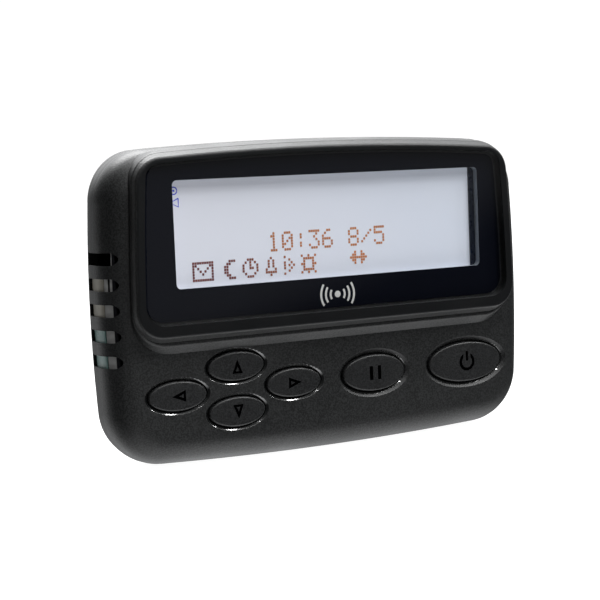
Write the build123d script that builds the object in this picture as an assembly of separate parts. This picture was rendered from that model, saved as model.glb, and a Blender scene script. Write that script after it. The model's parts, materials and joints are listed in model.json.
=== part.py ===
"""A pocket pager: two-part case, raised display hood, six oval keys and one AAA cell.

Millimetres. +X is the width, -Y the front, +Z up. The origin is under the middle of the case.
"""

import os
from math import asin, sin, sqrt

from build123d import *

# ---------------------------------------------------------------- driving sizes
CASE_WIDTH = 80.0
CASE_HEIGHT = 52.4
TOP_CORNER_RADIUS = 8.8
BOTTOM_CORNER_RADIUS = 9.6
SIDE_ARC_RADIUS = 297.0
TOP_ARC_RADIUS = 544.0
BOTTOM_ARC_RADIUS = 641.0
BASE_FLAT_DEPTH = 0.05  # how far the bowed bottom is trimmed to stand on

LENS_FRONT_Y = -9.5
HOOD_FRONT_Y = -9.4
HOOD_MIDDLE_Y = -8.05
KEYPAD_Y = -6.85
REAR_Y = 9.5
PARTING_Y = 1.0
PARTING_GAP = 0.15
WALL = 1.5
REAR_WALL = 1.3

FRONT_EDGE_RADIUS = 4.75
SIDE_FLAT_DEPTH = 0.45  # straight strip between the front and rear roundings of the sides
SIDE_REAR_RADIUS = 12.0
END_REAR_RADIUS = 6.0
END_REAR_START_Y = 4.0

LENS_THICKNESS = 1.4
LENS_TOP_Z = 50.1
LENS_BOTTOM_Z = 23.75
LENS_FIT = 0.1
HOOD_RIM = 1.8

KEY_TRAVEL = 0.35
KEY_PROUD = 0.45
CELL_LENGTH = 44.5
CELL_RADIUS = 5.25
CELL_Y = 3.2
CELL_Z = 12.1

# ---------------------------------------------------------------- layers, front to back
LENS_BACK_Y = LENS_FRONT_Y + LENS_THICKNESS
TAPE_BACK_Y = LENS_BACK_Y + 0.15
LEDGE_BACK_Y = TAPE_BACK_Y + 1.0
LCD_FRONT_Y = -6.45
LCD_BACK_Y = -4.95
BACKLIGHT_FRONT_Y = -4.9
BACKLIGHT_BACK_Y = -4.1
FRAME_BACK_Y = -3.75
KEY_WALL_BACK_Y = KEYPAD_Y + WALL
FLANGE_FRONT_Y = KEY_WALL_BACK_Y + 0.05
FLANGE_BACK_Y = FLANGE_FRONT_Y + 0.5
MEMBRANE_FRONT_Y = FLANGE_BACK_Y + KEY_TRAVEL + 0.05
MEMBRANE_BACK_Y = MEMBRANE_FRONT_Y + 0.5
BOARD_FRONT_Y = -3.6
BOARD_BACK_Y = -2.9
BAY_FLOOR_Y = BOARD_BACK_Y + 0.05

# key name: centre x, centre z, cap width, cap height, bevel ring width
KEYS = {
    "up": (-18.1, 15.9, 10.1, 4.75, 0.42),
    "down": (-18.2, 8.45, 10.1, 4.85, 0.42),
    "left": (-28.6, 12.1, 10.1, 4.75, 0.42),
    "right": (-7.6, 12.15, 10.1, 4.8, 0.42),
    "pause": (7.9, 12.2, 12.1, 6.2, 0.8),
    "power": (26.75, 12.25, 15.1, 6.95, 0.8),
}
KEY_GAP = 0.28
KEY_FLANGE = 0.75
RING_SLOPE = 0.62  # depth of the bevel ring for its width
KEY_EDGE = 0.3
ICON_DEPTH = 0.16

VENT_TOP_Z = 34.5
VENT_PITCH = 4.06
VENT_COUNT = 5
VENT_HEIGHT = 2.0
VENT_FRONT_Y = -6.3
VENT_WALL = 0.45  # the side wall is thinner where the slots go through it
VENT_POCKET = (13.5, 40.2)  # lowest and highest z of the thinner wall

SCREW_PLACES = [(x, z) for x in (-33.6, 33.6) for z in (6.2, 46.0)]
SCREW_SEAT_Y = 4.2
POST_RADIUS = 1.8
LIP_FRONT_Y = 0.0
LIP_BACK_Y = 2.0
LIP_INSET = 0.55
LIP_THICKNESS = 0.7

DOOR_LEFT_X = -27.0
DOOR_RIGHT_X = 31.4
DOOR_BOTTOM_Z = 5.4
DOOR_TOP_Z = 18.9
DOOR_THICKNESS = 1.0
DOOR_FIT = 0.15
RAIL = 0.5

# lens and hood outline
LENS_LOW_HALF = 34.2
LENS_MIDDLE_HALF = 33.9
LENS_HIGH_HALF = 33.1
LENS_TOP_ARC_RADIUS = 462.0

# hood outlines: growth from the lens, bottom z, top z, low corner radius, high corner radius
HOOD_OUTLINES = {
    "upper front": (HOOD_RIM - 0.2, 21.85, 51.0, 4.3, 4.4),
    "upper back": (HOOD_RIM, 20.95, 51.75, 5.0, 5.0),
    "lower front": (HOOD_RIM, 20.35, 51.8, 5.4, 5.0),
    "lower back": (HOOD_RIM + 0.05, 18.95, 52.1, 6.6, 5.4),
}
HOOD_UPPER_EDGE = 0.6
HOOD_LOWER_EDGE = 0.5

# display window and its holder
WINDOW_X = 0.55
WINDOW_Z = 37.8
WINDOW_HALF = 29.0
WINDOW_HEIGHT = 17.2
WINDOW_CORNER = 0.8
COLLAR_HALF = 30.2
COLLAR_HEIGHT = 19.2
FRAME_HALF = 31.4
FRAME_LOW_Z = 26.7
FRAME_HIGH_Z = 48.5
POCKET_HALF = FRAME_HALF + 0.3
GLASS_HALF = 30.4
GLASS_LOW_Z = 27.4
GLASS_HIGH_Z = 47.8
GLASS_FIT = 0.1
PICTURE_LEFT_X = -28.2
PICTURE_RIGHT_X = 28.55
SEAL_THICKNESS = 0.3
LED_X = 29.6

# smaller hardware
ICON_SIZE = 2.4
ICON_BASE = 1.9
DOME_RADIUS = 2.0
SCREW_RADIUS = 0.78
SCREW_TIP_Y = -3.9
HEAD_RADIUS = 1.7
VENT_REACH = 5.6
LINING_DEPTH = 0.5  # how far inside the skin the parts behind the slots start
BAND_THICKNESS = 0.2
BAND_TOP_Z = 32.4
BAND_LOW_Z = 14.8
BAND_FRONT_Y = -5.4
BAND_BACK_Y = -4.0
NECK_BACK_Y = -5.1
NECK_TOP_Z = 39.6
ALERT_BACK_Y = 0.8
SOUNDER_LOW_Z = 24.4
SOUNDER_THICKNESS = 1.8
DOOR_Y = REAR_Y - DOOR_THICKNESS
GRIP_RIBS = 5
GRIP_PITCH = 1.6
BOARD_LEFT_X = -36.0
LABEL_WIDTH = 44.0
LABEL_HEIGHT = 17.0
LABEL_Z = 33.0
BAY_HALF = 26.5
BAY_LOW_Z = CELL_Z - CELL_RADIUS - 0.4
BAY_HIGH_Z = CELL_Z + CELL_RADIUS + 0.4
SHIELD = (-26.0, -8.0, 24.0, 44.0)  # left and right x, low and high z of the radio can
SHIELD_HEIGHT = 3.2
SHEET = 0.25  # thickness of folded sheet metal

# centre x, centre z, body width, body height
CHIPS = {
    "processor_chip": (3.0, 31.5, 9.0, 10.0),
    "decoder_chip": (15.5, 26.0, 6.0, 6.5),
    "receiver_chip": (-17.0, 34.0, 6.0, 6.5),
}
CHIP_HEIGHT = 1.1
LEG_PITCH = 1.2
LEG_REACH = 0.8
COIL_X = 29.5
COIL_ZS = (30.0, 35.0, 40.0)
CAPACITOR_X = 23.5
CAPACITOR_ZS = (24.0, 29.5)
MOTOR_RADIUS = 2.1
MOTOR_X0 = 13.0
MOTOR_X1 = 23.0
MOTOR_Y = 0.4
MOTOR_Z = 42.0
SHAFT_RADIUS = 0.4


# ---------------------------------------------------------------- helpers
def at_y(y):
    """A sketch plane facing the front at depth y: its x runs with +X and its y with +Z."""
    return Plane(origin=(0, y, 0), x_dir=(1, 0, 0), z_dir=(0, -1, 0))


def slab(face, front_y, back_y):
    """A flat outline drawn on the plane y = 0, made solid from front_y to back_y."""
    return Pos(0, back_y, 0) * extrude(face, amount=back_y - front_y)


def block(x0, x1, y0, y1, z0, z1):
    """A box given by its limits."""
    size = (x1 - x0, y1 - y0, z1 - z0)
    return Pos((x0 + x1) / 2, (y0 + y1) / 2, (z0 + z1) / 2) * Box(*size)


def rounded(width, height, radius, x=0.0, z=0.0):
    """A rounded rectangle on the plane y = 0, centred at x, z."""
    return at_y(0) * Pos(x, z) * RectangleRounded(width, height, radius)


def oval(width, height, x, z):
    """An ellipse on the plane y = 0, centred at x, z."""
    return at_y(0) * Pos(x, z) * Ellipse(width / 2, height / 2)


def rod_y(radius, front_y, back_y, x, z):
    """A cylinder along Y."""
    return slab(at_y(0) * Pos(x, z) * Circle(radius), front_y, back_y)


def rod_x(radius, x0, x1, y, z):
    """A cylinder along X."""
    length = x1 - x0
    return Pos((x0 + x1) / 2, y, z) * Rot(0, 90, 0) * Cylinder(radius, length)


def four_arcs(bottom, right, top, left, radii):
    """An outline of four bowed sides. Each side is its first corner and its middle point."""
    sides = [bottom, right, top, left]
    corners = [side[0] for side in sides]
    lines = Curve()
    for number, (corner, middle) in enumerate(sides):
        lines += ThreePointArc(corner, middle, corners[(number + 1) % 4])
    face = make_face(lines)
    for radius, corner in zip(radii, corners):
        vertex = face.vertices().sort_by_distance((*corner, 0))[0]
        face = fillet(vertex, radius)
    return face


def sag(half_chord, radius):
    """How far an arc of that radius bows over half its chord."""
    return radius - sqrt(radius**2 - half_chord**2)


# ---------------------------------------------------------------- case form
def case_outline(wall, side_inset, end_inset):
    """The case from the front, wall inside the skin, brought in further at the sides and the ends."""
    half = CASE_WIDTH / 2 - wall - side_inset
    low = -BASE_FLAT_DEPTH + wall + end_inset
    high = CASE_HEIGHT - wall - end_inset
    middle = (low + high) / 2
    corner_x = half - sag((high - low) / 2, SIDE_ARC_RADIUS)
    low_corner = low + sag(corner_x, BOTTOM_ARC_RADIUS)
    high_corner = high - sag(corner_x, TOP_ARC_RADIUS)
    low_radius = max(BOTTOM_CORNER_RADIUS - wall - 0.5 * side_inset, 1.5)
    high_radius = max(TOP_CORNER_RADIUS - wall - 0.5 * side_inset, 1.5)
    return four_arcs(
        ((-corner_x, low_corner), (0, low)),
        ((corner_x, low_corner), (half, middle)),
        ((corner_x, high_corner), (0, high)),
        ((-corner_x, high_corner), (-half, middle)),
        [low_radius, low_radius, high_radius, high_radius],
    )


def rounding(radius, wall, depth):
    """How far a rounded edge, wall inside the skin, has come in at that depth behind its start."""
    inner = radius - wall
    return inner - sqrt(inner**2 - max(depth, 0.0) ** 2)


def case_solid(wall, front_y, rear_y):
    """The case form without its hood, wall inside the outer skin."""
    edge_end_y = KEYPAD_Y + FRONT_EDGE_RADIUS
    start_y = edge_end_y + SIDE_FLAT_DEPTH
    front = slab(at_y(0) * case_outline(wall, 0, 0), front_y, start_y)
    front = fillet(front.edges().group_by(Axis.Y)[0], edge_end_y - front_y)
    steps = 6
    last_turn = asin((rear_y - start_y) / (SIDE_REAR_RADIUS - wall))
    sections = []
    for step in range(steps + 1):
        y = start_y + (SIDE_REAR_RADIUS - wall) * sin(last_turn * step / steps)
        side = rounding(SIDE_REAR_RADIUS, wall, y - start_y)
        end = rounding(END_REAR_RADIUS, wall, y - END_REAR_START_Y)
        sections.append(at_y(y) * case_outline(wall, side, end))
    return front + loft(sections)


def lens_outline(grow, bottom_z, top_z, low_radius, high_radius):
    """The bowed outline shared by the lens and the hood, grown sideways by grow."""
    low_x = LENS_LOW_HALF + grow
    middle_x = LENS_MIDDLE_HALF + grow
    high_x = LENS_HIGH_HALF + grow
    shoulder_z = top_z - sag(high_x, LENS_TOP_ARC_RADIUS)
    middle_z = (bottom_z + shoulder_z) / 2
    return four_arcs(
        ((-low_x, bottom_z), (0, bottom_z - 0.01)),
        ((low_x, bottom_z), (middle_x, middle_z)),
        ((high_x, shoulder_z), (0, top_z)),
        ((-high_x, shoulder_z), (-middle_x, middle_z)),
        [low_radius, low_radius, high_radius, high_radius],
    )


def hood_tier(front, back, edge_radius):
    """One step of the hood: two outlines joined by a sloping wall, with its front edge rounded."""
    front_y, front_face = front
    back_y, back_face = back
    tier = loft([at_y(back_y) * back_face, at_y(front_y) * front_face], ruled=True)
    return fillet(tier.edges().group_by(Axis.Y)[0], edge_radius)


def hood_solid():
    """The raised hood round the display: two steps, widest and lowest at its foot."""
    outlines = {name: lens_outline(*sizes) for name, sizes in HOOD_OUTLINES.items()}
    upper = hood_tier(
        (HOOD_FRONT_Y, outlines["upper front"]),
        (HOOD_MIDDLE_Y, outlines["upper back"]),
        HOOD_UPPER_EDGE,
    )
    lower = hood_tier(
        (HOOD_MIDDLE_Y, outlines["lower front"]),
        (KEYPAD_Y, outlines["lower back"]),
        HOOD_LOWER_EDGE,
    )
    foot = slab(at_y(0) * outlines["lower back"], KEYPAD_Y, KEYPAD_Y + FRONT_EDGE_RADIUS)
    return upper + lower + foot


def outer_solid():
    """The whole case as one block, standing on a small flat."""
    whole = case_solid(0, KEYPAD_Y, REAR_Y) + hood_solid()
    return whole - block(-CASE_WIDTH, CASE_WIDTH, -20, 20, -5, 0)


def layer(near, far, box):
    """Part of the layer between two distances inside the outer skin, cut out by a box."""
    skin = case_solid(near, KEYPAD_Y + near, REAR_Y - near)
    return (skin - case_solid(far, KEYPAD_Y + far, REAR_Y - far)) & box


def vent_pocket():
    """The recess inside the left wall that thins it behind the slots."""
    zone = block(-CASE_WIDTH, -30.0, VENT_FRONT_Y + 0.4, PARTING_Y, *VENT_POCKET)
    return case_solid(VENT_WALL, KEYPAD_Y + VENT_WALL, REAR_Y - VENT_WALL) & zone


def vent_cutters():
    """The side slots: round in front and open at the seam, where the rear cover closes them."""
    length = PARTING_Y + VENT_HEIGHT - VENT_FRONT_Y
    side = Plane(origin=(-CASE_WIDTH / 2 - 1, 0, 0), x_dir=(0, 1, 0), z_dir=(1, 0, 0))
    cutters = Part()
    for number in range(VENT_COUNT):
        middle = Pos(VENT_FRONT_Y + length / 2, VENT_TOP_Z - VENT_PITCH * number)
        cutters += extrude(side * middle * SlotOverall(length, VENT_HEIGHT), amount=VENT_REACH)
    return cutters


def parting_half(front_y, back_y):
    """A box over the whole case between two depths."""
    return block(-CASE_WIDTH, CASE_WIDTH, front_y, back_y, -5, CASE_HEIGHT + 5)


# ---------------------------------------------------------------- covers
def key_opening(x, z, width, height, ring):
    """The hole for one key, with the sloping ring round it."""
    hole = oval(width + 2 * KEY_GAP, height + 2 * KEY_GAP, x, z)
    mouth = oval(width + 2 * (KEY_GAP + ring), height + 2 * (KEY_GAP + ring), x, z)
    throat = slab(hole, KEYPAD_Y - 1, KEY_WALL_BACK_Y + 1)
    foot_y = KEYPAD_Y + RING_SLOPE * ring
    bevel = loft([Pos(0, foot_y, 0) * hole, Pos(0, KEYPAD_Y - 0.02, 0) * mouth], ruled=True)
    return throat + bevel


def front_cover(outer, inner):
    """The front half: skin, hood, lens seat, display opening, key holes and screw posts."""
    cover = (outer - inner) & parting_half(-20, PARTING_Y - PARTING_GAP / 2)
    seat = lens_outline(LENS_FIT, LENS_BOTTOM_Z - LENS_FIT, LENS_TOP_Z + LENS_FIT, 3.3, 2.4)
    cover -= slab(at_y(0) * seat, HOOD_FRONT_Y - 1, TAPE_BACK_Y)
    cover -= slab(rounded(2 * COLLAR_HALF + 0.3, COLLAR_HEIGHT + 0.3, 1.0, 0, WINDOW_Z), -12, 0)
    cover -= block(-POCKET_HALF, POCKET_HALF, LEDGE_BACK_Y, -3.0, FRAME_LOW_Z - 0.3, FRAME_HIGH_Z + 0.3)
    for key in KEYS.values():
        cover -= key_opening(*key)
    for x, z in SCREW_PLACES:
        cover += rod_y(POST_RADIUS, KEY_WALL_BACK_Y - 0.6, PARTING_Y - 0.1, x, z)
        cover -= rod_y(SCREW_RADIUS + 0.02, SCREW_TIP_Y - 0.2, PARTING_Y, x, z)
    return cover - vent_cutters() - vent_pocket()


def rear_lip():
    """The thin tongue that centres the rear cover inside the front one, with a wider root behind the seam."""
    tongue = slab(at_y(0) * case_outline(WALL + 0.1, LIP_INSET, 0), LIP_FRONT_Y, LIP_BACK_Y)
    root = slab(at_y(0) * case_outline(WALL - 0.4, LIP_INSET, 0), PARTING_Y + PARTING_GAP / 2, LIP_BACK_Y)
    hollow = slab(at_y(0) * case_outline(WALL + 0.1 + LIP_THICKNESS, LIP_INSET, 0), -10, 10)
    for x, z in SCREW_PLACES:
        tongue -= rod_y(POST_RADIUS + 0.2, -10, PARTING_Y, x, z)
    gap_at_vents = block(-CASE_WIDTH, -30.0, -10, 10, *VENT_POCKET)
    return tongue + root - hollow - gap_at_vents


def rear_cover(outer, inner):
    """The back half: skin, inner lip, battery tub, door recess, rails and screw seats."""
    rear_zone = parting_half(PARTING_Y + PARTING_GAP / 2, 20)
    cover = (outer - inner) & rear_zone
    cover += rear_lip() & outer
    tub = block(-BAY_HALF - 1, BAY_HALF + 1, BAY_FLOOR_Y, REAR_Y, BAY_LOW_Z - 0.8, BAY_HIGH_Z + 0.8)
    pad_low, pad_high = DOOR_BOTTOM_Z - 1.3, DOOR_TOP_Z + 1.3
    pad = block(DOOR_LEFT_X - 1, DOOR_RIGHT_X + 2, DOOR_Y - 1.2, REAR_Y, pad_low, pad_high)
    cover += (tub + pad) & outer
    for x, z in SCREW_PLACES:
        cover += rod_y(POST_RADIUS + 1, PARTING_Y + PARTING_GAP / 2, REAR_Y, x, z) & outer
    cover -= block(-BAY_HALF, BAY_HALF, BAY_FLOOR_Y + 0.7, REAR_Y + 1, BAY_LOW_Z, BAY_HIGH_Z)
    fit = DOOR_FIT
    cover -= block(DOOR_LEFT_X - fit, 45, DOOR_Y - 0.02, 12, DOOR_BOTTOM_Z - fit, DOOR_TOP_Z + fit)
    cover -= door_rails(fit, 45)
    for x, z in SCREW_PLACES:
        cover -= rod_y(SCREW_RADIUS + 0.2, -20, 20, x, z)
        cover -= rod_y(HEAD_RADIUS + 0.25, SCREW_SEAT_Y, 20, x, z)
    label = rounded(LABEL_WIDTH + 0.2, LABEL_HEIGHT + 0.2, 1.0, 0, LABEL_Z)
    return cover - slab(label, REAR_Y - 0.15, REAR_Y + 1)


def door_rails(fit, right_x):
    """The door's two edge tongues, or their grooves when fit is above zero."""
    front_y = DOOR_Y + 0.1 - fit * 0.5
    back_y = DOOR_Y + 0.5 + fit * 0.5
    left = DOOR_LEFT_X - fit
    low = block(left, right_x, front_y, back_y, DOOR_BOTTOM_Z - RAIL - fit, DOOR_BOTTOM_Z + 1)
    high = block(left, right_x, front_y, back_y, DOOR_TOP_Z - 1, DOOR_TOP_Z + RAIL + fit)
    return low + high


def battery_door(outer):
    """The sliding door: a piece of the back skin with edge tongues and a finger grip."""
    door = outer & block(DOOR_LEFT_X, DOOR_RIGHT_X, DOOR_Y, 12, DOOR_BOTTOM_Z, DOOR_TOP_Z)
    door += outer & door_rails(0, DOOR_RIGHT_X)
    for number in range(GRIP_RIBS):
        x = DOOR_RIGHT_X - 5 - GRIP_PITCH * number
        door -= block(x - 0.35, x + 0.35, REAR_Y - 0.3, REAR_Y + 1, DOOR_BOTTOM_Z + 3, DOOR_TOP_Z - 3)
    return door


def rear_label():
    """A plain blank label on the back."""
    return slab(rounded(LABEL_WIDTH, LABEL_HEIGHT, 0.9, 0, LABEL_Z), REAR_Y - 0.15, REAR_Y - 0.02)


def case_screws():
    """Four cross-head screws from the back, as separate solids."""
    screws = []
    cross = at_y(0) * (Rectangle(2.0, 0.45) + Rectangle(0.45, 2.0))
    for x, z in SCREW_PLACES:
        screw = rod_y(SCREW_RADIUS, SCREW_TIP_Y, SCREW_SEAT_Y + 0.2, x, z)
        screw += rod_y(HEAD_RADIUS, SCREW_SEAT_Y + 0.02, SCREW_SEAT_Y + 1.2, x, z)
        screw -= Pos(x, 0, z) * slab(cross, SCREW_SEAT_Y + 0.6, SCREW_SEAT_Y + 2)
        screws.append(screw)
    return screws


# ---------------------------------------------------------------- display
def window_opening(grow):
    """The display window's outline, grown by that much in all."""
    return rounded(2 * WINDOW_HALF + grow, WINDOW_HEIGHT + grow, WINDOW_CORNER, WINDOW_X, WINDOW_Z)


def display_lens():
    """The clear flat lens."""
    face = lens_outline(0, LENS_BOTTOM_Z, LENS_TOP_Z, 3.2, 2.3)
    lens = slab(at_y(0) * face, LENS_FRONT_Y, LENS_BACK_Y)
    return fillet(lens.edges().group_by(Axis.Y)[0], 0.12)


def lens_tape():
    """The thin adhesive frame that holds the lens in its seat."""
    face = lens_outline(-0.4, LENS_BOTTOM_Z + 0.4, LENS_TOP_Z - 0.4, 3.0, 2.0)
    tape = slab(at_y(0) * face, LENS_BACK_Y, TAPE_BACK_Y)
    return tape - slab(window_opening(0), -12, 0)


def lcd_frame():
    """The light holder round the display: a collar up to the lens and a tray behind."""
    collar = slab(rounded(2 * COLLAR_HALF, COLLAR_HEIGHT, 1.0, 0, WINDOW_Z), TAPE_BACK_Y, LCD_FRONT_Y)
    tray = block(-FRAME_HALF, FRAME_HALF, LEDGE_BACK_Y + 0.1, FRAME_BACK_Y, FRAME_LOW_Z, FRAME_HIGH_Z)
    frame = collar + tray
    frame -= slab(window_opening(0.1), -12, 0)
    reach = GLASS_HALF + GLASS_FIT
    return frame - block(-reach, reach, LCD_FRONT_Y, 0, GLASS_LOW_Z - GLASS_FIT, GLASS_HIGH_Z + GLASS_FIT)


def lcd_seal():
    """Two dark strips that cover the display's side edges."""
    sheet = slab(window_opening(0), LCD_FRONT_Y - SEAL_THICKNESS, LCD_FRONT_Y)
    left = sheet & block(-CASE_WIDTH, PICTURE_LEFT_X, -10, 0, 0, CASE_HEIGHT)
    right = sheet & block(PICTURE_RIGHT_X, CASE_WIDTH, -10, 0, 0, CASE_HEIGHT)
    return [left, right]


def lcd_glass():
    """The display: two panes, the back one taller to carry its contacts."""
    front = block(-GLASS_HALF, GLASS_HALF, LCD_FRONT_Y, -5.7, GLASS_LOW_Z + 1.3, GLASS_HIGH_Z)
    back = block(-GLASS_HALF, GLASS_HALF, -5.7, LCD_BACK_Y, GLASS_LOW_Z, GLASS_HIGH_Z)
    return front + back


def backlight_panel():
    """The light guide behind the display."""
    return block(
        -GLASS_HALF, LED_X - 0.7, BACKLIGHT_FRONT_Y, BACKLIGHT_BACK_Y, GLASS_LOW_Z + 1.6, GLASS_HIGH_Z
    )


def backlight_leds():
    """Two small lamps at the light guide's right end."""
    lamps = []
    for z in (33.0, 42.0):
        lamps.append(block(LED_X - 0.5, LED_X + 0.5, BACKLIGHT_FRONT_Y + 0.1, BACKLIGHT_BACK_Y, z - 1, z + 1))
    return lamps


def elastomer_connector():
    """The striped rubber strip that joins the display to the board."""
    return block(-26, 26, LCD_BACK_Y + 0.05, BOARD_FRONT_Y - 0.05, GLASS_LOW_Z + 0.2, GLASS_LOW_Z + 1.3)


# ---------------------------------------------------------------- keys
def triangle(direction):
    """An outline triangle that points up, down, left or right."""
    turn = {"up": 0, "left": 90, "down": 180, "right": 270}[direction]
    half = ICON_SIZE / 2
    base = ICON_BASE / 2
    outer = Polygon((-base, -half), (base, -half), (0, half), align=None)
    inner = Polygon((-base / 3, 0.4 - half), (base / 3, 0.4 - half), (0, -0.05), align=None)
    return Rot(0, 0, turn) * (outer - inner)


def pause_mark():
    """Two upright bars."""
    bar = Rectangle(0.65, ICON_SIZE)
    return Pos(-0.8, 0) * bar + Pos(0.8, 0) * bar


def power_mark():
    """An open ring with a bar in its gap."""
    ring = Circle(1.6) - Circle(1.05)
    ring -= Pos(0, 1.5) * Rectangle(1.5, 1.6)
    return ring + Pos(0, 1.0) * Rectangle(0.5, 1.7)


def key_mark(name):
    """The symbol sunk into a key."""
    if name == "pause":
        return pause_mark()
    if name == "power":
        return power_mark()
    return triangle(name)


def key_cap(name):
    """One key: a crowned oval cap with a sunk symbol and a flange that keeps it in the case."""
    x, z, width, height, _ = KEYS[name]
    front_y = KEYPAD_Y - KEY_PROUD
    cap = slab(oval(width, height, x, z), front_y, FLANGE_BACK_Y)
    crown = 3.2 * width
    cap &= Pos(x, front_y + crown, z) * Sphere(crown)
    cap = fillet(cap.edges().group_by(Axis.Y)[0], KEY_EDGE)
    cap += slab(oval(width + 2 * KEY_FLANGE, height + 2 * KEY_FLANGE, x, z), FLANGE_FRONT_Y, FLANGE_BACK_Y)
    mark = at_y(0) * Pos(x, z) * key_mark(name)
    return cap - slab(mark, front_y - 1, front_y + ICON_DEPTH)


def keypad_membrane():
    """The rubber sheet between the keys and the board, cut away round the lower screw posts."""
    sheet = block(-34.9, 35.6, MEMBRANE_FRONT_Y, MEMBRANE_BACK_Y, 4.6, 19.2)
    for x0, x1 in ((-40, -31.0), (31.0, 40)):
        sheet -= block(x0, x1, -10, 0, 0, 8.6)
    return sheet


def snap_domes():
    """One thin metal dome under each key."""
    domes = []
    for x, z, *_ in KEYS.values():
        dome = rod_y(DOME_RADIUS, BOARD_FRONT_Y - 0.1, BOARD_FRONT_Y, x, z)
        dome += rod_y(DOME_RADIUS * 0.6, BOARD_FRONT_Y - 0.2, BOARD_FRONT_Y - 0.1, x, z)
        domes.append(dome)
    return domes


# ---------------------------------------------------------------- electronics
def main_board():
    """The circuit board, notched round the screw posts."""
    board = slab(at_y(0) * case_outline(WALL + 1.1, 0, 0), BOARD_FRONT_Y, BOARD_BACK_Y)
    for x, z in SCREW_PLACES:
        board -= rod_y(POST_RADIUS + 0.4, -10, 0, x, z)
    return board & block(BOARD_LEFT_X, CASE_WIDTH, -10, 0, 0, CASE_HEIGHT)


def on_board(x0, x1, z0, z1, height):
    """A part that sits on the back of the board."""
    return block(x0, x1, BOARD_BACK_Y, BOARD_BACK_Y + height, z0, z1)


def chip(x, z, width, height):
    """A flat chip body with a row of legs on two sides."""
    half = width / 2
    body = on_board(x - half, x + half, z - height / 2, z + height / 2, CHIP_HEIGHT)
    count = int(height / LEG_PITCH)
    for number in range(count):
        leg_z = z + (number - (count - 1) / 2) * LEG_PITCH
        body += on_board(x - half - LEG_REACH, x + half + LEG_REACH, leg_z - 0.2, leg_z + 0.2, 0.25)
    return body


def rf_shield():
    """The folded metal can over the radio parts, open to the board."""
    left, right, low, high = SHIELD
    can = on_board(left, right, low, high, SHIELD_HEIGHT)
    return can - on_board(left + SHEET, right - SHEET, low + SHEET, high - SHEET, SHIELD_HEIGHT - SHEET)


def crystal():
    """The metal crystal can, lying down."""
    can = on_board(-2, 8, 40, 43.6, 3.0)
    return fillet(can.edges().filter_by(Axis.Y), 1.5)


def tuning_coils():
    """Three wound coils."""
    coils = []
    for z in COIL_ZS:
        coil = rod_y(1.5, BOARD_BACK_Y, BOARD_BACK_Y + 3, COIL_X, z)
        coils.append(coil - rod_y(0.6, BOARD_BACK_Y + 1, 5, COIL_X, z))
    return coils


def capacitors():
    """Two can capacitors."""
    return [rod_y(2.0, BOARD_BACK_Y, BOARD_BACK_Y + 5.2, CAPACITOR_X, z) for z in CAPACITOR_ZS]


def lining(thickness, front_y, back_y, low_z, high_z):
    """A sheet that lines the left wall behind the slots."""
    zone = block(-CASE_WIDTH, -30.0, front_y, back_y, low_z, high_z)
    return layer(LINING_DEPTH, LINING_DEPTH + thickness, zone)


def loop_antenna():
    """The metal strip: a band inside the left wall, a thin neck above it and a run along the top."""
    strip = lining(BAND_THICKNESS, BAND_FRONT_Y, BAND_BACK_Y, BAND_LOW_Z, BAND_TOP_Z)
    strip -= block(-CASE_WIDTH, 0, -4.9, -4.4, BAND_TOP_Z - 3.4, BAND_TOP_Z - 0.4)
    strip += lining(BAND_THICKNESS, BAND_FRONT_Y + 0.05, NECK_BACK_Y, BAND_TOP_Z - 1, NECK_TOP_Z)
    turn_low_z = NECK_TOP_Z - 0.4
    strip += lining(BAND_THICKNESS, BAND_FRONT_Y + 0.05, -0.5, turn_low_z, NECK_TOP_Z)
    form = case_solid(LINING_DEPTH, KEYPAD_Y + LINING_DEPTH, REAR_Y - LINING_DEPTH)
    strip += form & block(-CASE_WIDTH, -30.0, BOARD_BACK_Y, -0.5, turn_low_z, NECK_TOP_Z)
    strip += block(-30.4, -30.0, BOARD_BACK_Y, -0.5, turn_low_z, 47.4)
    return strip + block(-30.4, 8.0, BOARD_BACK_Y, -0.5, 47.0, 47.4)


def alert_board():
    """The small flexible board inside the left wall that feeds the sounder."""
    return lining(0.25, BAND_BACK_Y + 0.4, ALERT_BACK_Y, BAND_LOW_Z, SOUNDER_LOW_Z)


def sounder():
    """The flat sounder that stands on the flexible board, with a sound hole through it."""
    can = lining(SOUNDER_THICKNESS, BAND_BACK_Y + 0.05, ALERT_BACK_Y, SOUNDER_LOW_Z, BAND_TOP_Z)
    middle_y = (BAND_BACK_Y + ALERT_BACK_Y) / 2
    middle_z = (SOUNDER_LOW_Z + BAND_TOP_Z) / 2
    return can - rod_x(0.4, -CASE_WIDTH / 2, -38.6, middle_y, middle_z)


def motor_holder():
    """The rubber cradle under the vibration motor."""
    cradle = block(MOTOR_X0 + 1.5, MOTOR_X1 - 1.5, BOARD_BACK_Y, MOTOR_Y, MOTOR_Z - 2.9, MOTOR_Z + 2.9)
    return cradle - rod_x(MOTOR_RADIUS, MOTOR_X0, MOTOR_X1, MOTOR_Y, MOTOR_Z)


def vibration_motor():
    """The motor can, with the bore that its shaft turns in."""
    can = rod_x(MOTOR_RADIUS, MOTOR_X0, MOTOR_X1, MOTOR_Y, MOTOR_Z)
    can -= rod_x(SHAFT_RADIUS + 0.05, MOTOR_X1 - 3.2, MOTOR_X1 + 1, MOTOR_Y, MOTOR_Z)
    return can


def motor_shaft():
    """The motor's thin shaft."""
    return rod_x(SHAFT_RADIUS, MOTOR_X1 - 3.1, MOTOR_X1 + 4.2, MOTOR_Y, MOTOR_Z)


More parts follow.
